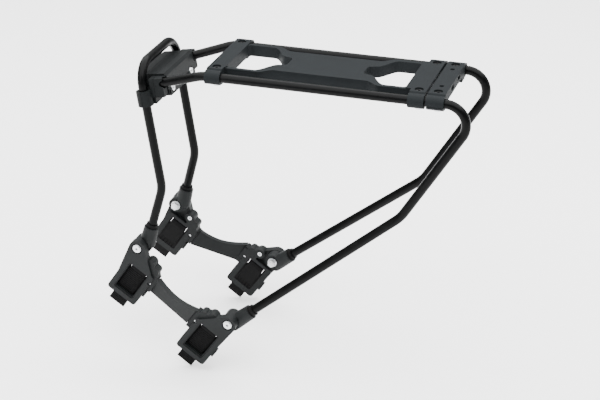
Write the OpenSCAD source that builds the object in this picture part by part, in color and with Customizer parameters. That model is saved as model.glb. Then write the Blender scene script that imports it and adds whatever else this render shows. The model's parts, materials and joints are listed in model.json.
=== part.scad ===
// Rear luggage carrier for a bicycle: a bent tube frame with a moulded deck,
// held by a front hoop and by four strap mounts that clamp on the seat stays.
// Millimetres. +X points to the rear of the bicycle, +Y to its right, +Z up.
// The origin is on the middle plane, midway between the front and rear pivots.

/* [Tube frame] */
// Outside diameter of every bent tube
tube_d = 10; // [9:0.5:11]
// Wall of every bent tube
tube_wall = 1.5; // [1:0.1:2]
// Distance between the two rails, centre to centre
rail_spacing = 100; // [96:1:124]
// Length of a rail between its two bends, to the corners of the centre line
rail_length = 303; // [288:1:370]
// Height of the rails above the middle of the stay mounts
rail_height = 242; // [225:1:292]
// Distance from the middle of the stay mounts back to the front bend of the rails
rail_start = 20; // [10:1:30]
// Bend radius behind the deck
tail_radius = 22; // [19:0.5:27]
// How far the lower knee sits in front of the rear bend
knee_back = 83; // [70:1:95]
// How far the lower knee sits below the rails
knee_drop = 134; // [110:1:150]

/* [Front hoop] */
// Distance from the front bend of the rails forward to the top of the hoop
hoop_set = 71.5; // [70:0.5:76]
// Height of the hoop top above the rails
hoop_rise = 2.5; // [0:0.5:12]
// Bend radius of the two top corners of the hoop
hoop_radius = 23; // [20:1:26]
// Distance from the front bend of the rails forward to the hoop knee
hoop_knee_set = 51; // [48:0.5:54]
// How far the hoop knee sits below the rails
hoop_knee_drop = 138.5; // [120:0.5:145]

/* [Slide block] */
// Width of the block between its two leg collars
block_width = 76; // [70:1:82]
// Height of the middle of the block
block_height = 25; // [23:1:30]
// Radial room round the cross tube inside the block
cross_room = 1.3; // [1:0.1:1.6]
// Diameter of the two long clamp bolts
clamp_bolt_d = 5; // [4:0.5:5]

/* [Deck] */
// Width of the middle plate
plate_width = 60; // [50:1:66]
// Height of the deck top above the rail centre
deck_top = 9; // [8.5:0.5:12]
// Height of the side walls of the deck
deck_depth = 10.6; // [9:0.2:14]
// Length of the front cross bar along the rails
front_bar = 18; // [16:1:24]
// Length of the rear cross bar along the rails
rear_bar = 23; // [20:1:28]
// Length of the grip round the rail under each cross bar
grip_length = 17; // [12:1:19]
// Length of the tail bar along the rails
tail_bar_length = 18.5; // [16:0.5:20]
// Hole-to-hole distance for a rear lamp bracket on the tail bar
lamp_spacing = 50; // [40:1:56]
// Diameter of the lamp bracket holes
lamp_hole_d = 5; // [4:0.5:6]

/* [Stay mounts] */
// Distance from the front pivots back to the rear pivots
pivot_run = 113; // [105:1:125]
// Height of the front pivots above the rear pivots
pivot_rise = 68; // [60:1:78]
// Distance between the left and right front sockets
front_spread = 108; // [104:1:120]
// Distance between the left and right rear sockets
rear_spread = 146; // [136:1:160]
// Diameter of the pivot bolts
pivot_d = 5; // [4:0.5:6]
// Width of the window in each strap housing, along the seat stay
window_w = 24.4; // [24:0.2:28]
// Height of the window in each strap housing
window_h = 36.4; // [34:0.2:40]
// Wall of the strap housing round its window
frame_wall = 7; // [5:0.5:8]
// Depth of the strap housing, from its outer to its inner face
housing_depth = 15; // [14:0.5:18]
// Width of the rubber strap
strap_width = 20; // [18:0.5:22]
// Thickness of the rubber strap
strap_thick = 1.8; // [1.4:0.1:2]

/* [Hidden] */
$fn = 64;

LEFT = -1;
RIGHT = 1;
gap = 0.3;             // room between pieces that move past each other
slip = 0.1;            // room between pieces that are bolted together
pin_room = 0.05;       // radial room of a pivot bolt in its socket
tube_r = tube_d / 2;

// Frame points on the left side, as [x, z]; y follows the side
rail_y = rail_spacing / 2;
rail_front = [rail_start, rail_height];
rail_rear = [rail_start + rail_length, rail_height];
low_knee = [rail_rear[0] - knee_back, rail_height - knee_drop];
front_pivot = [-pivot_run / 2, pivot_rise / 2];
rear_pivot = [pivot_run / 2, -pivot_rise / 2];
hoop_top = [rail_start - hoop_set, rail_height + hoop_rise];
hoop_knee = [rail_start - hoop_knee_set, rail_height - hoop_knee_drop];
// Where the tube axes pass the pivots
front_foot = front_pivot + [6, 0];
rear_foot = rear_pivot + [3, -3.7];
front_y = front_spread / 2;
rear_y = rear_spread / 2;

// The cross tube that joins the two side tubes inside the block
leg_dir = unit(hoop_top - hoop_knee);
cross_drop = 20.5;                       // below the rails
cross_gap = tube_d + 2.4;                // from the hoop leg axis back to the cross tube axis
leg_lean = atan2(-leg_dir[0], leg_dir[1]);
block_z = rail_height - cross_drop;      // height of the block frame on the leg axis
cross_z = block_z - cross_gap * leg_dir[0];
cross_x = leg_x(block_z) + cross_gap * leg_dir[1];
cross_y = rail_y - 7.6;
cross_radius = 14;

function unit(v) = v / norm(v);
// x of the straight hoop leg at a height z
function leg_x(z) = hoop_knee[0] + (z - hoop_knee[1]) * leg_dir[0] / leg_dir[1];
function at_y(p, y) = [p[0], y, p[1]];
// Unit direction from one point to another
function along(a, b) = unit(b - a);
// Smooth step from 0 to 1
function ease(t) = (1 - cos(180 * t)) / 2;

// ---- bent tubes ----

// Draws its children with +Z along a direction, starting at a point
module aim(from, dir) {
    polar = acos(dir[2]);
    heading = atan2(dir[1], dir[0]);
    translate(from) rotate([0, 0, heading]) rotate([0, polar, 0]) children();
}

// One straight piece of tube between two points
module straight(a, b, r_out, r_in) {
    aim(a, along(a, b)) linear_extrude(norm(b - a)) difference() {
        circle(r_out);
        if (r_in > 0) circle(r_in);
    }
}

// One bend at a corner, between the directions d0 and d1, with a bend radius
module bend(corner, d0, d1, radius, r_out, r_in) {
    turn = acos(d0 * d1);
    setback = radius * tan(turn / 2);
    axis = unit(cross(d0, d1));
    start = corner - d0 * setback;
    out = cross(axis, d0);
    centre = start + out * radius;
    ex = -out;
    ey = cross(axis, ex);
    multmatrix([
        [ex[0], ey[0], axis[0], centre[0]],
        [ex[1], ey[1], axis[1], centre[1]],
        [ex[2], ey[2], axis[2], centre[2]],
        [0, 0, 0, 1],
    ]) rotate_extrude(angle = turn) translate([radius, 0]) difference() {
        circle(r_out);
        if (r_in > 0) circle(r_in);
    }
}

function setback_at(pts, radii, i) =
    (i == 0 || i == len(pts) - 1) ? 0 :
    radii[i] * tan(acos(along(pts[i - 1], pts[i]) * along(pts[i], pts[i + 1])) / 2);

lap = 0.3;                               // straight pieces reach this far into the bends
neck = 0.02;                             // a bend is drawn this much thinner, to join cleanly

// A tube along corner points, with a bend radius at each inner corner
module bent_tube(pts, radii, r_out, r_in) {
    last = len(pts) - 1;
    for (i = [0 : last - 1]) {
        d = along(pts[i], pts[i + 1]);
        straight(pts[i] + d * (setback_at(pts, radii, i) - (i == 0 ? 0 : lap)),
            pts[i + 1] - d * (setback_at(pts, radii, i + 1) - (i == last - 1 ? 0 : lap)),
            r_out, r_in);
    }
    for (i = [1 : last - 1])
        bend(pts[i], along(pts[i - 1], pts[i]), along(pts[i], pts[i + 1]), radii[i],
            r_out - neck, r_in > 0 ? r_in + neck : 0);
}

socket_depth = 15;                       // tube inside a socket
front_mouth = 22;                        // socket mouth above the pivot, along the tube
rear_mouth = 24;

function front_axis(s) = along(at_y(hoop_knee, s * rail_y), at_y(front_foot, s * front_y));
function rear_axis(s) = along(at_y(low_knee, s * rail_y), at_y(rear_foot, s * rear_y));
function front_mouth_at(s) = at_y(front_foot, s * front_y) - front_axis(s) * front_mouth;
function rear_mouth_at(s) = at_y(rear_foot, s * rear_y) - rear_axis(s) * rear_mouth;

hoop_points = [
    front_mouth_at(LEFT) + front_axis(LEFT) * socket_depth,
    at_y(hoop_knee, -rail_y), at_y(hoop_top, -rail_y),
    at_y(hoop_top, rail_y), at_y(hoop_knee, rail_y),
    front_mouth_at(RIGHT) + front_axis(RIGHT) * socket_depth,
];
hoop_bends = [0, 38, hoop_radius, hoop_radius, 38, 0];

function side_points(s) = [
    rear_mouth_at(s) + rear_axis(s) * socket_depth,
    at_y(low_knee, s * rail_y), at_y(rail_rear, s * rail_y), at_y(rail_front, s * rail_y),
    [cross_x, s * cross_y, cross_z],
];
side_bends = [0, 40, tail_radius, 40, cross_radius];

// One bent tube: both sides and the cross piece in the block
module side_tube() {
    color([0.06, 0.065, 0.07]) bent_tube(
        concat(side_points(LEFT), [for (i = [4 : -1 : 0]) side_points(RIGHT)[i]]),
        concat(side_bends, [for (i = [4 : -1 : 0]) side_bends[i]]),
        tube_r, tube_r - tube_wall);
}

module hoop_tube() {
    color([0.06, 0.065, 0.07])
        bent_tube(hoop_points, hoop_bends, tube_r, tube_r - tube_wall);
}

// ---- sockets at the tube ends ----

knuckle_r = 9;
washer_h = 1;
washer_r = 5.4;
nut_h = 4;
nut_r = 4.6;
knuckle_in = 6.5;                        // knuckle to the inside of the tube plane
knuckle_out = 7;                         // knuckle to the outside of the tube plane
mouth_r = tube_r + 3.2;
shoulder_r = tube_r + 4.2;
sleeve_r = tube_r + 1.5;
sleeve_out = 4.5;
sleeve_in = 3;

// Mirrors a left-side shape to the right side
module on_side(s) {
    if (s == LEFT) children();
    else mirror([0, 1, 0]) children();
}

// A left socket: tapered barrel, flat knuckle, blind tube bore, sleeve seat, pivot bore
module socket(foot, pivot, y, dir, mouth_at) {
    reach = norm(at_y(foot, -y) - mouth_at);
    color([0.12, 0.125, 0.13]) difference() {
        union() {
            aim(mouth_at, dir) cylinder(h = reach, r1 = mouth_r, r2 = shoulder_r);
            translate([pivot[0], -y + knuckle_in + 0.5, pivot[1]]) rotate([90, 0, 0])
                cylinder(h = knuckle_in + knuckle_out + 1, r = knuckle_r);
            translate([foot[0], -y + knuckle_in - 0.4, foot[1]]) rotate([90, 0, 0])
                cylinder(h = knuckle_in + knuckle_out - 0.8, r = knuckle_r - 1.2);
        }
        aim(mouth_at - dir, dir) cylinder(h = socket_depth + 1.2, r = tube_r + slip / 2);
        aim(mouth_at - dir, dir) cylinder(h = sleeve_in + 1, r = sleeve_r + slip / 2);
        translate([pivot[0], -y + knuckle_in + 1, pivot[1]]) rotate([90, 0, 0])
            cylinder(h = knuckle_in + knuckle_out + 2, r = pivot_d / 2 + pin_room);
        // flats where the lug of the housing and the washer lie against it
        translate([pivot[0], -y - knuckle_out, pivot[1]]) rotate([90, 0, 0])
            cylinder(h = 20, r = lug_r + 1.5);
        translate([pivot[0], -y + knuckle_in + 20, pivot[1]]) rotate([90, 0, 0])
            cylinder(h = 20, r = washer_r + 0.8);
    }
}

module front_socket(s) {
    on_side(s) socket(front_foot, front_pivot, front_y, front_axis(LEFT), front_mouth_at(LEFT));
}

module rear_socket(s) {
    on_side(s) socket(rear_foot, rear_pivot, rear_y, rear_axis(LEFT), rear_mouth_at(LEFT));
}

// A rubber ring where the tube enters its socket
module sleeve(mouth_at, dir) {
    color([0.03, 0.03, 0.03]) aim(mouth_at - dir * sleeve_out, dir)
        rotate_extrude() translate([tube_r + slip / 2, 0]) square([sleeve_r - tube_r - slip / 2,
            sleeve_out + sleeve_in]);
}

module front_sleeves() {
    for (s = [LEFT, RIGHT]) sleeve(front_mouth_at(s), front_axis(s));
}

module rear_sleeves() {
    for (s = [LEFT, RIGHT]) sleeve(rear_mouth_at(s), rear_axis(s));
}

// ---- strap housings ----
// Drawn in their own plane: +X along the seat stay to the rear, +Z away from the window,
// the pivot at the origin, y = 0 in the plane of the tube, -Y to the outside.

front_tilt = 34;
rear_tilt = 35.5;
front_window = [16, -40];                // window centre from the pivot
rear_window = [-11.5, -39.5];
lug_r = 9.5;
bite = 0.05;                             // the sides of the lug end this far inside its eye
lug_face = 16.5;                         // outer face of the housing
lug_in = knuckle_out + gap;              // inner face of the lug
head_d = 9.6;
head_h = 2.8;
recess_d = 12.6;
recess_h = 2.6;
frame_w = window_w + 2 * frame_wall;
frame_top = window_h / 2 + 4;
frame_bottom = window_h / 2 + frame_wall;
corner_r = 3.5;
run_back = 6;                            // outer strap run behind the outer face
run_in = run_back + 9;                   // inner strap run behind the outer face
slot_room = 0.35;

module at_pivot(pivot, y, tilt) {
    translate([pivot[0], -y, pivot[1]]) rotate([0, tilt, 0]) children();
}

// Extrudes a flat shape drawn in X and Z from one y to another
module slab(y0, y1) {
    translate([0, max(y0, y1), 0]) rotate([90, 0, 0]) linear_extrude(abs(y1 - y0)) children();
}

// A rectangle with round corners, from its low corner to its high corner
module round_rect(lo, hi, r) {
    translate([lo[0] + r, lo[1]]) square([hi[0] - lo[0] - 2 * r, hi[1] - lo[1]]);
    translate([lo[0], lo[1] + r]) square([hi[0] - lo[0], hi[1] - lo[1] - 2 * r]);
    for (x = [lo[0] + r, hi[0] - r], z = [lo[1] + r, hi[1] - r]) translate([x, z]) circle(r);
}

// Point where a line from p touches a circle round the origin; side is 1 or -1
function touch(p, r, side) =
    let (reach = norm(p), swing = acos(r / reach), head = atan2(p[1], p[0]) + side * swing)
    [r * cos(head), r * sin(head)];

// Outline of the lug: a round eye that widens to the top corner on the arm side
// and to the middle of the frame on the other side
module lug_outline(win, side) {
    near = win + [-side * frame_w / 2, 2];
    far = win + [side * frame_w / 2, frame_top - corner_r];
    circle(lug_r);
    polygon([[0, 0], touch(near, lug_r - bite, -side), near, far, touch(far, lug_r - bite, side)]);
}

module frame_outline(win) {
    round_rect(win + [-frame_w / 2, -frame_bottom], win + [frame_w / 2, frame_top], corner_r);
}

module window_outline(win, room = 0) {
    half = [window_w / 2 + room, window_h / 2 + room];
    round_rect(win - half, win + half, 1.5 + room);
}

// Web above the frame, with two lobes, between the barrel and the arm pocket
module web_outline(win, side, arm) {
    high = frame_top - 3;
    translate(win) {
        polygon([
            [side * boss_at[0], high], [side * boss_at[0], boss_at[1] + boss_r - 2],
            [side * lobe_at[0], lobe_at[1] + lobe_r - 1], [side * (lobe_at[0] + 3), lobe_at[1]],
            [side * pocket_x, arm[1] - 3], [side * (frame_w / 2 - 3), arm[0] + 4],
            [side * (frame_w / 2 - 6), high],
        ]);
        translate([side * lobe_at[0], lobe_at[1]]) circle(lobe_r);
    }
}

// The bridge arm enters the housing on one side: 1 to the rear, -1 to the front
front_arm = [1, 22];                     // bottom and top of the arm above the front window centre
rear_arm = [2.5, 27];                    // the same above the rear window centre
arm_shoulder = 2.5;                      // the tongue is this much lower than the arm at both edges
lip_depth = 1.2;                         // step round the outer edge of the window
lip_room = 1.3;
nub_out = 2.6;                           // nub on the rear wall, below its middle
pocket_out = 5;                          // pocket block beside the frame
pocket_wall = 2;
tongue = 12;                             // length of the arm tongue in its pocket
tongue_thick = 7;
tongue_y = -lug_face + housing_depth / 2 + 0.5;
arm_pin_r = 1.6;
boss_r = 6;
boss_at = [6, 31.5];                     // tension barrel from the window centre
lobe_r = 4.6;
lobe_at = [15.5, 27.5];                  // lobe of the web from the window centre
tension_r = 2.5;
tension_length = 8;
rib_h = 0.5;                             // teeth of the strap
rib_pitch = 2.4;
tail_out = 15;                           // strap tail below the frame
strap_travel = 6;
turn_r = (run_in + strap_thick - run_back) / 2;
turn_z = window_h / 2 - 0.8 - turn_r;    // centre of the strap turn above the window centre

// x from the window centre to the open mouth of the pocket
pocket_x = frame_w / 2 + pocket_out;

module strap_housing(win, side, arm) {
    color([0.13, 0.135, 0.14]) difference() {
        union() {
            slab(-lug_face, -lug_face + housing_depth) difference() {
                frame_outline(win);
                window_outline(win);
            }
            slab(-lug_face, -lug_in) difference() {
                lug_outline(win, side);
                window_outline(win);
            }
            pocket_block(win, side, arm);
            // barrel of the tension screw, and the web that joins it to the pocket
            slab(-lug_face + 2.5, -lug_face + housing_depth) {
                translate(win + [side * boss_at[0], boss_at[1]]) circle(boss_r);
                web_outline(win, side, arm);
            }
            span(win[0] + frame_w / 2 - 1, win[0] + frame_w / 2 + nub_out,
                -lug_face + 5, -lug_face + housing_depth - 2, win[1] - 11, win[1] - 2);
        }
        slab(-lug_face - 1, lug_face) circle(pivot_d / 2 + slip);
        slab(-lug_face - 1, -lug_face + recess_h) circle(recess_d / 2);
        slab(-lug_face - 1, -lug_face + lip_depth) window_outline(win, lip_room);
        // room for the knuckle behind the lug
        slab(-lug_in, lug_face) circle(knuckle_r + gap + 3);
        // slot for the strap tail through the lower wall
        translate([win[0] - strap_width / 2 - slot_room,
            -lug_face + run_back - rib_h - slot_room, win[1] - frame_bottom - 1])
            cube([strap_width + 2 * slot_room, strap_thick + rib_h + 2 * slot_room,
                frame_wall + 2]);
        arm_tongue(win, side, arm, slip / 2, 1);
        slab(-lug_face - 1, lug_face) arm_pin_at(win, side, arm) circle(arm_pin_r + slip / 2);
        translate([win[0] + side * boss_at[0], -lug_face + housing_depth + 1,
            win[1] + boss_at[1]]) rotate([90, 0, 0])
            cylinder(h = tension_length + 2, r = tension_r + slip / 2);
    }
}

// A box between two x values in either order, and between y and z values
module span(x0, x1, y0, y1, z0, z1) {
    translate([min(x0, x1), min(y0, y1), min(z0, z1)])
        cube([abs(x1 - x0), abs(y1 - y0), abs(z1 - z0)]);
}

module pocket_block(win, side, arm, room = 0) {
    wall = tongue_thick / 2 + pocket_wall + room;
    span(win[0] + side * (frame_w / 2 - 2), win[0] + side * (pocket_x + room),
        tongue_y - wall, tongue_y + wall, win[1] + arm[0] - room, win[1] + arm[1] + room);
}

// The end of the arm inside the pocket; room makes the pocket itself
module arm_tongue(win, side, arm, room, past) {
    span(win[0] + side * (pocket_x - tongue - room), win[0] + side * (pocket_x + past),
        tongue_y - tongue_thick / 2 - room, tongue_y + tongue_thick / 2 + room,
        win[1] + arm[0] + arm_shoulder - room, win[1] + arm[1] - arm_shoulder + room);
}

module arm_pin_at(win, side, arm) {
    translate(win + [side * (pocket_x - tongue / 2), (arm[0] + arm[1]) / 2]) children();
}

module front_housing(s) {
    on_side(s) at_pivot(front_pivot, front_y, front_tilt) strap_housing(front_window, 1, front_arm);
}

module rear_housing(s) {
    on_side(s) at_pivot(rear_pivot, rear_y, rear_tilt) strap_housing(rear_window, -1, rear_arm);
}

module front_housing_left() { front_housing(LEFT); }
module front_housing_right() { front_housing(RIGHT); }
module rear_housing_left() { rear_housing(LEFT); }
module rear_housing_right() { rear_housing(RIGHT); }

// Repeats a left-side shape at the front and rear housings of both sides
module each_mount() {
    for (s = [LEFT, RIGHT]) {
        on_side(s) at_pivot(front_pivot, front_y, front_tilt) {
            $win = front_window;
            $side = 1;
            $arm = front_arm;
            children();
        }
        on_side(s) at_pivot(rear_pivot, rear_y, rear_tilt) {
            $win = rear_window;
            $side = -1;
            $arm = rear_arm;
            children();
        }
    }
}

// The rubber cradle that fills the window and backs the strap
cradle_y0 = -lug_face + run_back + strap_thick + 0.5;
cradle_y1 = -lug_face + run_in - 0.5;
cradle_top = turn_z - strap_travel + 1;

module cradle(win) {
    color([0.03, 0.03, 0.035]) difference() {
        slab(cradle_y0, cradle_y1) window_outline(win);
        span(win[0] - strap_width / 2 - 0.7, win[0] + strap_width / 2 + 0.7,
            cradle_y0 - 1, cradle_y1 + 1, win[1] + cradle_top, win[1] + window_h);
        for (x = [-8 : 4 : 8])
            span(win[0] + x - 0.6, win[0] + x + 0.6, cradle_y1 - 0.8, cradle_y1 + 1,
                win[1] - window_h, win[1] + window_h);
    }
}

module front_cradle(s) { on_side(s) at_pivot(front_pivot, front_y, front_tilt) cradle(front_window); }
module rear_cradle(s) { on_side(s) at_pivot(rear_pivot, rear_y, rear_tilt) cradle(rear_window); }
module front_cradle_left() { front_cradle(LEFT); }
module front_cradle_right() { front_cradle(RIGHT); }
module rear_cradle_left() { rear_cradle(LEFT); }
module rear_cradle_right() { rear_cradle(RIGHT); }

// The rubber strap: toothed outer run with its tail, a turn, and the inner run
module strap(win) {
    x0 = win[0] - strap_width / 2;
    y_out = -lug_face + run_back;
    z_turn = win[1] + turn_z;
    z_tail = win[1] - frame_bottom - tail_out;
    color([0.02, 0.02, 0.02]) {
        translate([x0, y_out, z_tail]) cube([strap_width, strap_thick, z_turn - z_tail]);
        for (z = [z_tail + 1 : rib_pitch : z_turn - 2])
            translate([x0, y_out - rib_h, z]) cube([strap_width, rib_h + 0.1, rib_pitch / 2]);
        translate([x0, y_out + turn_r, z_turn]) rotate([90, 0, 90]) linear_extrude(strap_width)
            difference() {
                circle(turn_r);
                circle(turn_r - strap_thick);
                translate([-turn_r - 1, -turn_r - 1]) square([2 * turn_r + 2, turn_r + 1]);
            }
        translate([x0, -lug_face + run_in, win[1] - 10])
            cube([strap_width, strap_thick, z_turn - win[1] + 10]);
    }
}

module front_strap(s) { on_side(s) at_pivot(front_pivot, front_y, front_tilt) strap(front_window); }
module rear_strap(s) { on_side(s) at_pivot(rear_pivot, rear_y, rear_tilt) strap(rear_window); }
module front_strap_left() { front_strap(LEFT); }
module front_strap_right() { front_strap(RIGHT); }
module rear_strap_left() { rear_strap(LEFT); }
module rear_strap_right() { rear_strap(RIGHT); }

// Cross pins that hold the arm tongues
module arm_pins() {
    color([0.7, 0.7, 0.7]) each_mount()
        slab(tongue_y - tongue_thick / 2 - pocket_wall, tongue_y + tongue_thick / 2 + pocket_wall)
            arm_pin_at($win, $side, $arm) circle(arm_pin_r);
}

// Socket head screws that tighten the straps, worked from the inside
module tension_screws() {
    color([0.75, 0.76, 0.77]) each_mount() difference() {
        translate([$win[0] + $side * boss_at[0], -lug_face + housing_depth, $win[1] + boss_at[1]])
            rotate([90, 0, 0]) cylinder(h = tension_length, r = tension_r);
        translate([$win[0] + $side * boss_at[0], -lug_face + housing_depth + 1,
            $win[1] + boss_at[1]]) rotate([90, 0, 0]) cylinder(h = 3, r = 1.5, $fn = 6);
    }
}

// ---- pivot bolts ----

bolt_head_y = -lug_face + recess_h;

module pivot_bolts() {
    color([0.8, 0.81, 0.82]) each_mount() difference() {
        union() {
            slab(bolt_head_y, bolt_head_y - head_h + 0.8) circle(head_d / 2);
            slab(bolt_head_y - head_h + 0.8, bolt_head_y - head_h) circle(head_d / 2 - 0.9);
            slab(bolt_head_y - 0.5, knuckle_in + washer_h + nut_h + 1) circle(pivot_d / 2);
        }
        slab(bolt_head_y - head_h - 1, bolt_head_y - 0.8) circle(1.75, $fn = 6);
    }
}

module pivot_washers() {
    color([0.8, 0.81, 0.82]) each_mount()
        slab(knuckle_in + gap, knuckle_in + gap + washer_h) difference() {
            circle(washer_r);
            circle(pivot_d / 2);
        }
}

module pivot_nuts() {
    color([0.78, 0.79, 0.8]) each_mount()
        slab(knuckle_in + gap + washer_h, knuckle_in + gap + washer_h + nut_h)
            difference() {
                circle(nut_r, $fn = 6);
                circle(pivot_d / 2);
            }
}

// ---- bridge arms ----

// A point of a housing's own plane in the plane of the rack
function tilted(pivot, tilt, p) =
    pivot + [p[0] * cos(tilt) + p[1] * sin(tilt), p[1] * cos(tilt) - p[0] * sin(tilt)];

front_root_high = tilted(front_pivot, front_tilt, front_window + [pocket_x, front_arm[1]]);
front_root_low = tilted(front_pivot, front_tilt, front_window + [pocket_x, front_arm[0]]);
rear_root_high = tilted(rear_pivot, rear_tilt, rear_window + [-pocket_x, rear_arm[1]]);
rear_root_low = tilted(rear_pivot, rear_tilt, rear_window + [-pocket_x, rear_arm[0]]);
arm_sag = 7;
sag_skew = 0.85;                         // below 1, the lowest point lies towards the front
arm_steps = 14;
arm_from = (front_root_high + front_root_low) / 2;
arm_to = (rear_root_high + rear_root_low) / 2;
arm_yaw = atan2(rear_y - front_y, arm_to[0] - arm_from[0]);

// Outline of the arm in its own turned plane, where x is stretched by the turn
function arm_flat(p) = [(p[0] - arm_from[0]) / cos(arm_yaw), p[1]];

module arm_outline() {
    polygon(concat(
        [for (i = [0 : arm_steps]) let (t = i / arm_steps)
            arm_flat((1 - t) * front_root_high + t * rear_root_high
                - [0, arm_sag * sin(180 * pow(t, sag_skew))])],
        [arm_flat(rear_root_low), arm_flat(front_root_low)]));
}

module bridge_arm(s) {
    color([0.13, 0.135, 0.14]) on_side(s) difference() {
        union() {
            at_pivot(front_pivot, front_y, front_tilt)
                arm_tongue(front_window, 1, front_arm, 0, 0.5);
            at_pivot(rear_pivot, rear_y, rear_tilt)
                arm_tongue(rear_window, -1, rear_arm, 0, 0.5);
            difference() {
                translate([arm_from[0], -front_y + tongue_y, 0]) rotate([0, 0, -arm_yaw])
                    slab(-tongue_thick / 2, tongue_thick / 2) arm_outline();
                at_pivot(front_pivot, front_y, front_tilt)
                    pocket_block(front_window, 1, front_arm, slip / 2);
                at_pivot(rear_pivot, rear_y, rear_tilt)
                    pocket_block(rear_window, -1, rear_arm, slip / 2);
            }
        }
        at_pivot(front_pivot, front_y, front_tilt) slab(-30, 0)
            arm_pin_at(front_window, 1, front_arm) circle(arm_pin_r + slip / 2);
        at_pivot(rear_pivot, rear_y, rear_tilt) slab(-30, 0)
            arm_pin_at(rear_window, -1, rear_arm) circle(arm_pin_r + slip / 2);
    }
}

module bridge_arm_left() { bridge_arm(LEFT); }
module bridge_arm_right() { bridge_arm(RIGHT); }

module front_socket_left() { front_socket(LEFT); }
module front_socket_right() { front_socket(RIGHT); }
module rear_socket_left() { rear_socket(LEFT); }
module rear_socket_right() { rear_socket(RIGHT); }

// ---- slide block ----
// Drawn with +Z up along the hoop legs and +X to the rear, y = 0 in the middle;
// the leg axes are at x = 0 and the cross tube axis is at x = cross_gap, z = 0.

block_back = 24;
block_front = -16;
block_low = -block_height * 0.6;
block_high = block_low + block_height;
collar_r = tube_r + 3.5;
collar_low = -21;
collar_high = -4;
leg_room = 0.1;
split_gap = 0.3;
clamp_y = 26.7;
clamp_z = -10;
clamp_head_r = 4.2;
clamp_head_h = 2.6;
clamp_seat = 1.6;                        // depth of the seat of the bolt head
clamp_nut_x = -8;
bevel = 3;
rib_run = 1.3;                           // each rib on the front edge steps back this far

module in_block() {
    translate([leg_x(block_z), 0, block_z]) rotate([0, -leg_lean, 0]) children();
}

// Side outline of the middle of the block, in X and Z
module block_outline() {
    polygon([
        [block_front + rib_run, block_high - 6], [block_front + 2 * rib_run, block_high - 6],
        [block_front + 2 * rib_run, block_high - 3], [block_front + 3 * rib_run, block_high - 3],
        [block_front + 3 * rib_run, block_high], [block_back - bevel, block_high],
        [block_back, block_high - bevel], [block_back, block_low],
        [block_front + 6, block_low], [block_front, block_low + 5],
        [block_front, block_high - 10],
    ]);
}

// Plan of the middle of the block: its front edge draws back towards the legs
module block_plan() {
    side = block_width / 2 + 1;
    polygon([
        [block_front - 1, -side * 0.5], [block_front + 5.5, -side * 0.8], [block_front + 7, -side],
        [block_back + 1, -side], [block_back + 1, side],
        [block_front + 7, side], [block_front + 5.5, side * 0.8], [block_front - 1, side * 0.5],
    ]);
}

module block_solid() {
    intersection() {
        slab(-block_width / 2, block_width / 2) block_outline();
        translate([0, 0, -30]) linear_extrude(60) block_plan();
    }
    for (s = [LEFT, RIGHT]) {
        translate([0, s * rail_y, collar_low]) cylinder(h = collar_high - collar_low, r = collar_r);
        span(-7.5, 7.5, s * (block_width / 2 - 1), s * rail_y, collar_low, collar_high);
        span(-8.5, 11, s * (block_width / 2 - 8), s * (rail_y - 4), collar_low, block_low + 1);
        // cheek that takes in the bend of the side tube
        span(tube_r + 2.5, block_back - 1, s * (block_width / 2 - 1), s * (rail_y - 1), -13, 8);
    }
    // lip under the rear face
    span(8, block_back + 1, -block_width / 2 + 3, block_width / 2 - 3, block_low - 1, block_low + 5);
}

module block_cuts() {
    for (s = [LEFT, RIGHT]) {
        translate([0, s * rail_y, -60]) cylinder(h = 120, r = tube_r + leg_room);
        translate([block_front - 1, s * clamp_y, clamp_z]) rotate([0, 90, 0])
            cylinder(h = block_back - block_front + 2, r = clamp_bolt_d / 2 + slip);
        translate([block_back - clamp_seat, s * clamp_y, clamp_z]) rotate([0, 90, 0])
            cylinder(h = 10, r = clamp_head_r + 0.4);
        translate([block_front - 1, s * clamp_y, clamp_z]) rotate([0, 90, 0])
            cylinder(h = clamp_nut_x - block_front + 1, r = clamp_head_r + slip, $fn = 6);
    }
}

// Room for the bends and the cross piece of the side tube
module cross_channel() {
    bent_tube(
        [side_points(LEFT)[3], side_points(LEFT)[4], side_points(RIGHT)[4], side_points(RIGHT)[3]],
        [0, cross_radius, cross_radius, 0], tube_r + cross_room, 0);
}

// The slice of the block between two x values of its own frame
module block_slice(x0, x1) {
    color([0.14, 0.145, 0.15]) difference() {
        in_block() intersection() {
            difference() {
                block_solid();
                block_cuts();
            }
            span(x0, x1, -80, 80, -60, 60);
        }
        cross_channel();
    }
}

module block_front_cap() { block_slice(block_front - 5, -split_gap / 2); }
module block_core() { block_slice(split_gap / 2, cross_gap - split_gap / 2); }
module block_rear_cover() { block_slice(cross_gap + split_gap / 2, block_back + 5); }

module clamp_bolts() {
    color([0.8, 0.81, 0.82]) in_block() for (s = [LEFT, RIGHT])
        translate([block_back - clamp_seat, s * clamp_y, clamp_z]) difference() {
            union() {
                rotate([0, 90, 0]) cylinder(h = clamp_head_h, r1 = clamp_head_r,
                    r2 = clamp_head_r - 0.8);
                rotate([0, -90, 0]) cylinder(h = block_back - clamp_seat - clamp_nut_x + 3.5,
                    r = clamp_bolt_d / 2);
            }
            translate([0.8, 0, 0]) rotate([0, 90, 0]) cylinder(h = 5, r = 1.6, $fn = 6);
        }
}

module clamp_nuts() {
    color([0.78, 0.79, 0.8]) in_block() for (s = [LEFT, RIGHT])
        translate([clamp_nut_x, s * clamp_y, clamp_z]) rotate([0, -90, 0]) difference() {
            cylinder(h = 4, r = clamp_head_r, $fn = 6);
            translate([0, 0, -1]) cylinder(h = 6, r = clamp_bolt_d / 2);
        }
}

// ---- deck ----

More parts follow.
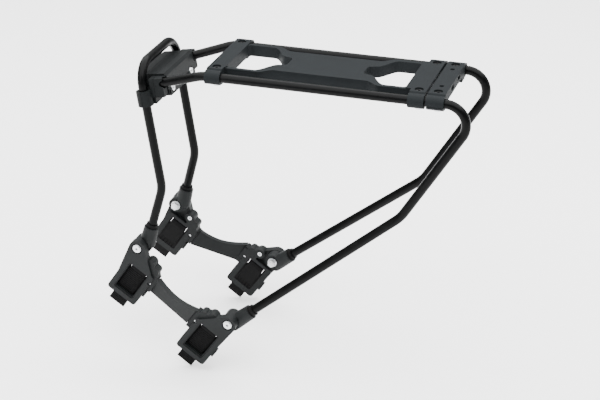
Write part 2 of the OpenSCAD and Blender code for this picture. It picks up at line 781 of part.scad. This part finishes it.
tail_setback = tail_radius * tan(acos(along(at_y(low_knee, 0), at_y(rail_rear, 0)) * [1, 0, 0] * -1) / 2);
tail_bar_x1 = rail_rear[0] - tail_setback - 1;
tail_bar_x0 = tail_bar_x1 - tail_bar_length;
deck_x1 = tail_bar_x0 - 2.3;
deck_x0 = rail_start + 5;
bar_x0 = deck_x0 + front_bar;            // rear edge of the front cross bar
bar_x1 = deck_x1 - rear_bar;             // front edge of the rear cross bar
side_out = rail_y - 10;                  // outer edge of the side members
side_in = rail_y - 15;                   // inner edge of the side members
front_run = 30;                          // straight part of the front opening's edge
rear_run = 24;                           // the same at the rear opening
sweep_in = 21;
sweep_out = 17;
past_run = 4;                            // the outer edge turns in this much later
tip_half = 12.5;                         // half the width of an opening at its narrow end
tip_length = 8;
curve_steps = 10;
plate_drop = 1.5;                        // middle plate below the cross bars
wall_drop = 3.4;                         // side walls reach this far below the cross bars
deck_low = deck_top - deck_depth;
ring_r = tube_r + 2.6;
ring_room = 0.05;
screw_y = rail_y - 10.2;
screw_d = 5;
screw_head_r = 4.4;
screw_seat = 4.2;
grip_low = -tube_r - 3.4;
tail_split = 2.4;                        // the tail grips meet the tail bar this far below the rails

// Edge of the deck from a cross bar inwards: straight, then an S-curve to the plate
function edge(x, dx, y0, y1, run, sweep) =
    [for (i = [0 : curve_steps]) let (t = i / curve_steps)
        [x + dx * (run + sweep * t), y0 + (y1 - y0) * ease(t)]];
function flip(pts) = [for (i = [len(pts) - 1 : -1 : 0]) [pts[i][0], -pts[i][1]]];
function turned(pts) = [for (i = [len(pts) - 1 : -1 : 0]) pts[i]];

front_edge = edge(bar_x0, 1, side_out, plate_width / 2, front_run + past_run, sweep_out);
rear_edge = edge(bar_x1, -1, side_out, plate_width / 2, rear_run + past_run, sweep_out);

module deck_outline() {
    upper = concat([[bar_x0 - 0.5, side_out - 0.5]], front_edge, turned(rear_edge),
        [[bar_x1 + 0.5, side_out - 0.5]]);
    polygon(concat(upper, flip(upper)));
}

// A hand hole between a cross bar and the middle plate; dx is its direction
module opening(x, dx, run) {
    end = run + sweep_in + tip_length;
    upper = concat([[x, side_in - 3], [x + 3 * dx, side_in]],
        edge(x, dx, side_in, tip_half, run, sweep_in),
        [[x + dx * (end - 1), tip_half - 2.5], [x + dx * end, tip_half - 6]]);
    polygon(concat(upper, flip(upper)));
}

module bar_block(x, length) {
    // cross bar with bevelled ends that rise over the rails
    translate([x, 0, 0]) rotate([90, 0, 90]) linear_extrude(length) polygon([
        [-rail_y + 5.5, deck_low], [rail_y - 5.5, deck_low],
        [rail_y - 1, ring_r - 1], [rail_y - 3, deck_top], [-rail_y + 3, deck_top],
        [-rail_y + 1, ring_r - 1],
    ]);
}

// The part of a cross bar between the rails
module bar_body(x, length) {
    translate([x, -side_out, deck_low]) cube([length, 2 * side_out, deck_depth]);
}

// The hook of the deck over one rail, in Y and Z, open on the inner lower side
module hook_outline(s) {
    difference() {
        translate([s * rail_y, 0]) circle(ring_r);
        translate([s > 0 ? rail_y - 20 : -rail_y - 1, -20]) square([21, 20 - 0.6]);
    }
}

// Runs a Y and Z outline along the rails from x
module along_rails(x, length) {
    translate([x, 0, 0]) rotate([90, 0, 90]) linear_extrude(length) children();
}

module rail_bores(x, length) {
    for (s = [LEFT, RIGHT]) translate([x, s * rail_y, 0]) rotate([0, 90, 0])
        cylinder(h = length, r = tube_r + ring_room);
}

module screw_bores(x) {
    for (s = [LEFT, RIGHT]) translate([x, s * screw_y, 0]) {
        translate([0, 0, -30]) cylinder(h = 60, r = screw_d / 2 + slip);
        translate([0, 0, deck_top - screw_seat]) cylinder(h = 10, r = screw_head_r + 0.3);
    }
}

front_grip_x = deck_x0;
rear_grip_x = deck_x1 - grip_length;
front_screw_x = front_grip_x + grip_length / 2;
rear_screw_x = rear_grip_x + grip_length / 2;
tail_screw_x = tail_bar_x0 + tail_bar_length / 2;

hollow_x0 = bar_x0 + front_run + sweep_in + tip_length + 4;
hollow_x1 = bar_x1 - rear_run - sweep_in - tip_length - 4;

module deck() {
    color([0.2, 0.21, 0.22]) translate([0, 0, rail_height]) difference() {
        union() {
            translate([0, 0, deck_low - wall_drop])
                linear_extrude(deck_depth + wall_drop - plate_drop) difference() {
                deck_outline();
                opening(bar_x0, 1, front_run);
                opening(bar_x1, -1, rear_run);
            }
            bar_block(front_grip_x, grip_length);
            bar_block(rear_grip_x, grip_length);
            bar_body(deck_x0, front_bar);
            bar_body(bar_x1, rear_bar);
            along_rails(front_grip_x, grip_length) for (s = [LEFT, RIGHT]) hook_outline(s);
            along_rails(rear_grip_x, grip_length) for (s = [LEFT, RIGHT]) hook_outline(s);
        }
        rail_bores(deck_x0 - 5, deck_x1 - deck_x0 + 10);
        screw_bores(front_screw_x);
        screw_bores(rear_screw_x);
        // hollow underside of the middle plate
        translate([hollow_x0, -plate_width / 2 + 3, deck_low - wall_drop - 1])
            cube([hollow_x1 - hollow_x0, plate_width - 6, deck_depth + wall_drop - 4.1]);
    }
}

// The grip that closes a hook from below, in Y and Z
module grip_outline(s, outside) {
    difference() {
        union() {
            if (outside) intersection() {
                translate([s * rail_y, 0]) circle(ring_r);
                translate([s > 0 ? rail_y - 3 : -rail_y - 17, -20]) square([20, 20 - tail_split - 0.5]);
            }
            intersection() {
                translate([s * rail_y, 0]) circle(ring_r);
                translate([s > 0 ? rail_y - 20 : -rail_y - 1 + slip, -20])
                    square([21 - slip, 20 + deck_low - slip]);
            }
            translate([s > 0 ? rail_y - 16 : -rail_y + 3, grip_low])
                square([13, deck_low - slip - grip_low]);
        }
        translate([s * rail_y, 0]) circle(tube_r + ring_room);
        // nothing past the hook of the deck
        if (!outside) translate([s > 0 ? rail_y + 1 - slip : -rail_y - 21 + slip, -20])
            square([20, 30]);
    }
}

module grips(x, length, screw_x, outside = false) {
    color([0.2, 0.21, 0.22]) translate([0, 0, rail_height]) difference() {
        along_rails(x + 0.5, length - 1) for (s = [LEFT, RIGHT])
            grip_outline(s, outside);
        screw_bores(screw_x);
    }
}

module rail_grips_front() { grips(front_grip_x, grip_length, front_screw_x); }
module rail_grips_rear() { grips(rear_grip_x, grip_length, rear_screw_x); }
module tail_grips() { grips(tail_bar_x0, tail_bar_length, tail_screw_x, outside = true); }

nut_low = grip_low - 3.6;

// Pan head screws that pull the grips up against the deck
module screws(xs) {
    color([0.1, 0.1, 0.1]) translate([0, 0, rail_height]) for (x = xs, s = [LEFT, RIGHT])
        translate([x, s * screw_y, 0]) difference() {
            union() {
                translate([0, 0, deck_top - screw_seat]) cylinder(h = 2.4, r = screw_head_r);
                translate([0, 0, nut_low - 0.6])
                    cylinder(h = deck_top - screw_seat - nut_low + 1, r = screw_d / 2);
            }
            translate([0, 0, deck_top - screw_seat + 0.8]) cylinder(h = 3, r = 1.7, $fn = 6);
        }
}

module nuts(xs) {
    color([0.7, 0.7, 0.72]) translate([0, 0, rail_height]) for (x = xs, s = [LEFT, RIGHT])
        translate([x, s * screw_y, nut_low]) difference() {
            cylinder(h = grip_low - nut_low, r = 4.5, $fn = 6);
            translate([0, 0, -1]) cylinder(h = 6, r = screw_d / 2);
        }
}

module deck_screws() { screws([front_screw_x, rear_screw_x]); }
module deck_nuts() { nuts([front_screw_x, rear_screw_x]); }
module tail_screws() { screws([tail_screw_x]); }
module tail_nuts() { nuts([tail_screw_x]); }

// ---- tail bar ----

rear_pocket_y = 14.6;

module tail_bar() {
    color([0.2, 0.21, 0.22]) translate([0, 0, rail_height]) difference() {
        union() {
            bar_block(tail_bar_x0, tail_bar_length);
            along_rails(tail_bar_x0, tail_bar_length) for (s = [LEFT, RIGHT]) difference() {
                hook_outline(s);
                translate([-80, -20]) square([160, 20 - tail_split]);
            }
        }
        rail_bores(tail_bar_x0 - 5, tail_bar_length + 10);
        screw_bores(tail_screw_x);
        for (s = [LEFT, RIGHT]) {
            translate([tail_screw_x, s * lamp_spacing / 2, deck_low - 1])
                cylinder(h = deck_depth + 2, r = lamp_hole_d / 2);
            translate([tail_bar_x1 - 5, s * rear_pocket_y - 5, 2]) cube([10, 10, 4.5]);
        }
    }
}

front_housing_left();
front_housing_right();
rear_housing_left();
rear_housing_right();
front_cradle_left();
front_cradle_right();
rear_cradle_left();
rear_cradle_right();
bridge_arm_left();
bridge_arm_right();
arm_pins();
tension_screws();
pivot_bolts();
pivot_washers();
pivot_nuts();
front_strap_left();
front_strap_right();
rear_strap_left();
rear_strap_right();
hoop_tube();
front_socket_left();
front_socket_right();
front_sleeves();
block_front_cap();
block_core();
block_rear_cover();
clamp_bolts();
clamp_nuts();
side_tube();
rear_socket_left();
rear_socket_right();
rear_sleeves();
deck();
rail_grips_front();
rail_grips_rear();
deck_screws();
deck_nuts();
tail_bar();
tail_grips();
tail_screws();
tail_nuts();
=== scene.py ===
import json
import math
import bmesh
import bpy
from mathutils import Matrix, Vector


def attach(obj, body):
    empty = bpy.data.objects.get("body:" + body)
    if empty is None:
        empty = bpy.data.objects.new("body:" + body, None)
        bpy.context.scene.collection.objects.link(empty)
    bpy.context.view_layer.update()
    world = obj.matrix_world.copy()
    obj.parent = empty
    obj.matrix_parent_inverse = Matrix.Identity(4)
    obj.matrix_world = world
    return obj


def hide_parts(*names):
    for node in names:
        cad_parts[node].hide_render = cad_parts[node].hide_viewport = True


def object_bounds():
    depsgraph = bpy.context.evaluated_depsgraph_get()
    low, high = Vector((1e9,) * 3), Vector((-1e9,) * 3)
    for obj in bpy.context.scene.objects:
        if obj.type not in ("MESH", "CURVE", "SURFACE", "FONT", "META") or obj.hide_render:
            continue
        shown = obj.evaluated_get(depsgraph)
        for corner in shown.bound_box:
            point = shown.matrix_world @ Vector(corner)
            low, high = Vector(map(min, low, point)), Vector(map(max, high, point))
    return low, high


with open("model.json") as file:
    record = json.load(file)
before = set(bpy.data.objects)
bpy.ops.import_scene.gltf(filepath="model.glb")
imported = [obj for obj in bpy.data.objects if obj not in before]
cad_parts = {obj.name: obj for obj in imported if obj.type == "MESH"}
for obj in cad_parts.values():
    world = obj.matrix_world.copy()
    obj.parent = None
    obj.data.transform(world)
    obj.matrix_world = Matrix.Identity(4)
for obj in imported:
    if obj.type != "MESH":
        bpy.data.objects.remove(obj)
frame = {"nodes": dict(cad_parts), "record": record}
cad_low, cad_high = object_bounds()

# ---- Studio ----
# A pale floor that runs back to a pale room, with a wide soft box overhead, a weak
# one in front and a narrow one behind that draws the streaks on the tubes.
MM = 0.001
scene = bpy.context.scene

floor_mesh = bmesh.new()
bmesh.ops.create_grid(floor_mesh, x_segments=1, y_segments=1, size=6)
bmesh.ops.translate(floor_mesh, verts=floor_mesh.verts, vec=(0, 0, cad_low.z - 0.5 * MM))
floor_data = bpy.data.meshes.new("studio_floor")
floor_mesh.to_mesh(floor_data)
floor_mesh.free()
floor = bpy.data.objects.new("studio_floor", floor_data)
scene.collection.objects.link(floor)


def soft_box(name, place, aim_at, wide, high, power):
    """A rectangular lamp at place that faces aim_at."""
    lamp = bpy.data.lights.new(name, "AREA")
    lamp.shape = "RECTANGLE"
    lamp.size = wide
    lamp.size_y = high
    lamp.energy = power
    holder = bpy.data.objects.new(name, lamp)
    holder.location = place
    holder.rotation_euler = (Vector(aim_at) - Vector(place)).to_track_quat("-Z", "Y").to_euler()
    scene.collection.objects.link(holder)


soft_box("overhead", (0.1, 0, 1.9), (0.1, 0, 0), 4.4, 4.4, 400)
soft_box("front_left", (-0.7, -1.5, 0.9), (0.1, 0, 0.1), 0.8, 1.0, 12)
soft_box("rear_right", (1.3, 0.6, 0.8), (0.1, 0, 0.15), 0.4, 1.2, 5)

room = bpy.data.worlds.new("pale_room")
room.use_nodes = True
room.node_tree.nodes["Background"].inputs["Color"].default_value = (0.97, 0.98, 1.0, 1)
room.node_tree.nodes["Background"].inputs["Strength"].default_value = 0.55
scene.world = room

# The camera stands behind and to the left of the carrier and looks down on it.
yaw = math.radians(-17.87)
pitch = math.radians(25.76)
roll = math.radians(-0.18)
ahead = Vector((math.sin(yaw) * math.cos(pitch),
                math.cos(yaw) * math.cos(pitch), -math.sin(pitch)))
level = Vector((math.cos(yaw), -math.sin(yaw), 0))
over = level.cross(ahead)
across = math.cos(roll) * level + math.sin(roll) * over
upward = math.cos(roll) * over - math.sin(roll) * level
lens = bpy.data.cameras.new("camera")
lens.lens = 93.26
lens.sensor_width = 36
lens.clip_start = 0.05
lens.clip_end = 30
camera = bpy.data.objects.new("camera", lens)
camera.matrix_world = Matrix.Translation((0.5894, -1.4788, 0.8367)) @ Matrix(
    (across, upward, -ahead)).transposed().to_4x4()
scene.collection.objects.link(camera)
scene.camera = camera

# ---- Bent tubes ----
# The side tube and the hoop are 10 mm steel tube, bent cold and powder coated in
# satin black. The coat has a fine orange peel, a little dust, and thin rub marks.


class Socket:
    """One output of a material's nodes. Sums and products of sockets add Math nodes."""

    def __init__(self, paint, link):
        self.paint = paint
        self.link = link

    def math(self, operation, *values):
        return self.paint.node("ShaderNodeMath", {"operation": operation}, *values)

    def __add__(self, other):
        return self.math("ADD", self, other)

    __radd__ = __add__

    def __mul__(self, other):
        return self.math("MULTIPLY", self, other)

    __rmul__ = __mul__

    def __sub__(self, other):
        return self.math("SUBTRACT", self, other)

    def __rsub__(self, other):
        return self.math("SUBTRACT", other, self)

    def step(self, low, high):
        """0 below low, 1 above high, smooth in between."""
        return self.paint.node("ShaderNodeMapRange", {"interpolation_type": "SMOOTHSTEP"},
                               self, low, high, 0.0, 1.0)


class Paint:
    """A material and its nodes, in the order that they are asked for."""

    def __init__(self, name, **finish):
        self.material = bpy.data.materials.new(name)
        self.material.use_nodes = True
        self.nodes = self.material.node_tree.nodes
        self.shader = self.nodes["Principled BSDF"]
        for socket, value in finish.items():
            self.shader.inputs[socket.replace("_", " ")].default_value = value

    def node(self, kind, settings=None, *values, **named):
        """Adds a node, sets it up, then feeds its sockets by place or by name."""
        made = self.nodes.new(kind)
        for key, value in (settings or {}).items():
            setattr(made, key, value)
        feeds = list(enumerate(values)) + [(key.replace("_", " "), v) for key, v in named.items()]
        for key, value in feeds:
            if isinstance(value, Socket):
                self.material.node_tree.links.new(value.link, made.inputs[key])
            elif value is not None:
                made.inputs[key].default_value = value
        result = "Object" if kind == "ShaderNodeTexCoord" else 0
        return Socket(self, made.outputs[result])

    def place(self, scale=(1, 1, 1), turn=(0, 0, 0)):
        """The piece's own coordinates in metres, turned and then scaled."""
        where = self.node("ShaderNodeTexCoord")
        if turn != (0, 0, 0):
            where = self.node("ShaderNodeMapping", None, where, (0, 0, 0), turn)
        return self.node("ShaderNodeVectorMath", {"operation": "MULTIPLY"}, where, scale)

    def noise(self, size, detail=2.0, scale=(1, 1, 1), turn=(0, 0, 0), rough=0.5):
        """Soft noise from 0 to 1 whose spots are about size metres across."""
        return self.node("ShaderNodeTexNoise", None, self.place(scale, turn), Scale=1 / size,
                         Detail=detail, Roughness=rough)

    def colour_mix(self, share, low, high):
        """Goes from the colour low to the colour high as share goes from 0 to 1."""
        made = self.nodes.new("ShaderNodeMix")
        made.data_type = "RGBA"
        for key, value in ((0, share), (6, low), (7, high)):
            if isinstance(value, Socket):
                self.material.node_tree.links.new(value.link, made.inputs[key])
            else:
                made.inputs[key].default_value = value
        return Socket(self, made.outputs[2])

    def feed(self, **sockets):
        """Links outputs to the shader's inputs of those names."""
        for key, value in sockets.items():
            self.material.node_tree.links.new(value.link, self.shader.inputs[key.replace("_", " ")])

    def bump(self, height, depth, strength=1.0):
        """Height from 0 to 1, raised by depth metres."""
        relief = self.node("ShaderNodeBump", None, Strength=strength, Distance=depth, Height=height)
        self.feed(Normal=relief)


def dress(node, paint):
    """Gives a CAD node its finish."""
    slots = frame["nodes"][node].data.materials
    slots.clear()
    slots.append(paint.material)


coat = Paint("powder_coat", Coat_Roughness=0.25, Specular_IOR_Level=0.06, Coat_IOR=1.15)
peel = coat.noise(1.1 * MM, 2.0)
dust = coat.noise(9 * MM, 4.0, rough=0.65).step(0.45, 0.8)
rubs = coat.noise(1.0 * MM, 3.0, scale=(0.06, 1, 1)).step(0.62, 0.72)
coat.feed(
    Base_Color=coat.colour_mix(dust * 0.5 + rubs * 0.2, (0.0006, 0.0007, 0.00075, 1),
                               (0.004, 0.0044, 0.0047, 1)),
    Roughness=0.27 + dust * 0.12 + peel * 0.08,
    Coat_Weight=0.22 - dust * 0.15)
coat.bump(peel + rubs * 0.1, 0.012 * MM)
dress("side_tube", coat)
dress("hoop_tube", coat)

# ---- Moulded mounts, sockets and arms ----
# Glass-filled nylon, injection moulded in near black. The tool's spark texture gives
# a fine even grain, and handling leaves paler scuffs.


def moulded(name, dark, pale, grain, rough, shine):
    """Moulded nylon: spark texture, flow marks and scuffs."""
    nylon = Paint(name, Specular_IOR_Level=shine)
    spark = nylon.noise(grain, 3.0, rough=0.7)
    flow = nylon.noise(14 * MM, 3.0)
    scuff = nylon.noise(2.4 * MM, 5.0, scale=(1, 1, 0.35), turn=(0.4, 0.7, 0.2), rough=0.7)
    scuff = scuff.step(0.6, 0.78)
    nylon.feed(
        Base_Color=nylon.colour_mix(spark * 0.35 + flow * 0.45 + scuff * 0.3, (*dark, 1), (*pale, 1)),
        Roughness=rough - 0.08 + spark * 0.14 + flow * 0.08 - scuff * 0.08)
    nylon.bump(spark, 0.05 * MM)
    return nylon


mount_nylon = moulded("mount_nylon", (0.0022, 0.0026, 0.0027), (0.0115, 0.0132, 0.0136),
                      0.5 * MM, 0.5, 0.13)
edge_round = 0.5 * MM


def softened(node, body, paint, radius):
    """The CAD node's shape with its sharp edges rounded, as moulded edges are."""
    shape = bmesh.new()
    shape.from_mesh(frame["nodes"][node].data)
    bmesh.ops.remove_doubles(shape, verts=shape.verts, dist=1e-6)
    bmesh.ops.dissolve_limit(shape, angle_limit=math.radians(0.5), verts=shape.verts, edges=shape.edges)
    sharp = [edge for edge in shape.edges
             if len(edge.link_faces) == 2 and edge.calc_face_angle(0) > math.radians(32)]
    bmesh.ops.bevel(shape, geom=sharp, offset=radius, offset_type="WIDTH", segments=2, profile=0.5,
                    affect="EDGES", clamp_overlap=True, material=-1)
    data = bpy.data.meshes.new(node + "_shape")
    shape.to_mesh(data)
    shape.free()
    data.shade_smooth()
    data.set_sharp_from_angle(angle=math.radians(50))
    data.materials.append(paint.material)
    piece = bpy.data.objects.new(node + "_shape", data)
    scene.collection.objects.link(piece)
    even = piece.modifiers.new("even_normals", "WEIGHTED_NORMAL")
    even.keep_sharp = True
    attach(piece, body)
    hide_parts(node)


body_of = {node: body for body, nodes in frame["record"]["behaviour"]["bodies"].items() for node in nodes}
for name in list(frame["nodes"]):
    if "housing" in name or "socket" in name or "bridge_arm" in name:
        softened(name, body_of[name], mount_nylon, edge_round)

# ---- Straps, cradles and sleeves ----
# Black moulded rubber. The straps are ribbed across, and dull from use.
rubber = Paint("black_rubber", Specular_IOR_Level=0.1)
bloom = rubber.noise(5 * MM, 4.0, rough=0.6)
pores = rubber.noise(0.35 * MM, 2.0)
rubber.feed(
    Base_Color=rubber.colour_mix(bloom * 0.6 + pores * 0.25, (0.0005, 0.0005, 0.00055, 1),
                                 (0.003, 0.003, 0.0032, 1)),
    Roughness=0.55 + bloom * 0.25)
rubber.bump(pores, 0.03 * MM)
for name in frame["nodes"]:
    if "cradle" in name or "strap" in name or "sleeves" in name:
        dress(name, rubber)

# ---- Bolts, nuts and pins ----
# Stainless steel, turned and rolled, with fine tool marks and a trace of grease.
steel = Paint("stainless", Metallic=1.0)
turning = steel.noise(0.25 * MM, 3.0, scale=(1, 0.15, 1))
haze = steel.noise(2.5 * MM, 3.0)
steel.feed(
    Base_Color=steel.colour_mix(haze, (0.5, 0.51, 0.52, 1), (0.8, 0.81, 0.82, 1)),
    Roughness=0.16 + turning * 0.12 + haze * 0.14)
steel.bump(turning, 0.01 * MM)
for name in ("pivot_bolts", "pivot_washers", "pivot_nuts", "arm_pins", "tension_screws",
             "clamp_bolts", "clamp_nuts", "deck_nuts", "tail_nuts"):
    dress(name, steel)

# ---- Slide block ----
# Three moulded pieces, bolted together round the hoop legs and the cross tube.
block_nylon = moulded("block_nylon", (0.0022, 0.0026, 0.0027), (0.0105, 0.012, 0.0124),
                      0.5 * MM, 0.48, 0.06)
for name in ("block_front_cap", "block_core", "block_rear_cover"):
    softened(name, "slide_block", block_nylon, edge_round)

# ---- Deck and tail bar ----
# The deck is one moulding in slate grey nylon, held by grips under the rails and
# black socket head screws.
deck_nylon = moulded("deck_nylon", (0.0062, 0.0072, 0.0078), (0.0125, 0.0145, 0.0157),
                     0.6 * MM, 0.52, 0.04)
for name in ("deck", "rail_grips_front", "rail_grips_rear", "tail_bar", "tail_grips"):
    softened(name, "carrier", deck_nylon, edge_round)

oxide = Paint("black_oxide", Metallic=0.6)
oil = oxide.noise(1.2 * MM, 3.0)
oxide.feed(
    Base_Color=oxide.colour_mix(oil, (0.004, 0.004, 0.0045, 1), (0.016, 0.016, 0.017, 1)),
    Roughness=0.28 + oil * 0.2)
oxide.bump(oil, 0.01 * MM)
for name in ("deck_screws", "tail_screws"):
    dress(name, oxide)

# ---- Floor finish ----
# A matte pale sheet with the faintest grain.
sheet = Paint("floor_sheet", Roughness=0.9, Specular_IOR_Level=0.1)
fibre = sheet.noise(3 * MM, 2.0)
sheet.feed(Base_Color=sheet.colour_mix(fibre, (0.93, 0.93, 0.93, 1), (0.96, 0.96, 0.96, 1)))
floor_data.materials.append(sheet.material)
